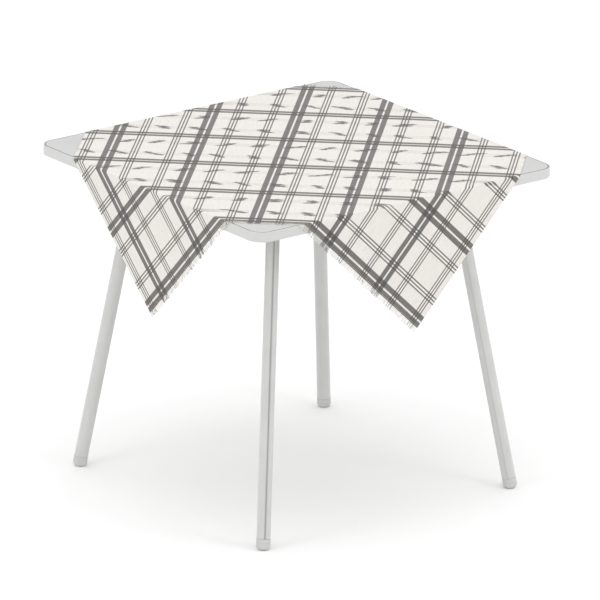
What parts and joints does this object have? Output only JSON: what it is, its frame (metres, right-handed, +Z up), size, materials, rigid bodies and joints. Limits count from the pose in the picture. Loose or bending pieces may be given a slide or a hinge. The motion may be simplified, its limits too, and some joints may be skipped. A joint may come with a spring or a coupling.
{
  "type": "tablecloth on a table",
  "caption": "Fringed check tablecloth laid corner-wise on a square laminate table with splayed round tube legs.",
  "frame": {"origin": "on the floor under the middle of the table top", "axes": "+Z up, X and Y along the sides of the square top; the front corner is at +X -Y"},
  "size_m": [0.8054, 0.8054, 0.7362],
  "materials": {
    "cloth": "plain-woven cotton, ecru ground with grey check",
    "fringe": "loose cotton threads",
    "board": "raw particle board",
    "laminate": "fine satin, light grey",
    "backing": "matte, pale grey",
    "band": "satin, light grey",
    "steel": "powder coat, light grey",
    "plastic": "moulded, light grey",
    "zinc": "zinc plated"
  },
  "bodies": {
    "table": {"core_board": "board", "top_laminate": "laminate", "backing_laminate": "backing", "edge_band": "band", "leg_plate_front": "steel", "leg_sleeve_front": "steel", "leg_tube_front": "steel", "foot_cap_front": "plastic", "lock_screw_front": "zinc", "plate_screw_front_1": "zinc", "plate_screw_front_2": "zinc", "plate_screw_front_3": "zinc", "plate_screw_front_4": "zinc", "leg_plate_left": "steel", "leg_sleeve_left": "steel", "leg_tube_left": "steel", "foot_cap_left": "plastic", "lock_screw_left": "zinc", "plate_screw_left_1": "zinc", "plate_screw_left_2": "zinc", "plate_screw_left_3": "zinc", "plate_screw_left_4": "zinc", "leg_plate_right": "steel", "leg_sleeve_right": "steel", "leg_tube_right": "steel", "foot_cap_right": "plastic", "lock_screw_right": "zinc", "plate_screw_right_1": "zinc", "plate_screw_right_2": "zinc", "plate_screw_right_3": "zinc", "plate_screw_right_4": "zinc", "leg_plate_back": "steel", "leg_sleeve_back": "steel", "leg_tube_back": "steel", "foot_cap_back": "plastic", "lock_screw_back": "zinc", "plate_screw_back_1": "zinc", "plate_screw_back_2": "zinc", "plate_screw_back_3": "zinc", "plate_screw_back_4": "zinc"},
    "cloth": {"tablecloth": "cloth", "fringe_front": "fringe", "fringe_back": "fringe"}
  },
  "joints": [
    {"name": "cloth_lift", "type": "slide", "parent": "table", "child": "cloth", "axis": [0, 0, 1], "range_m": [0, 0.4]}
  ]
}
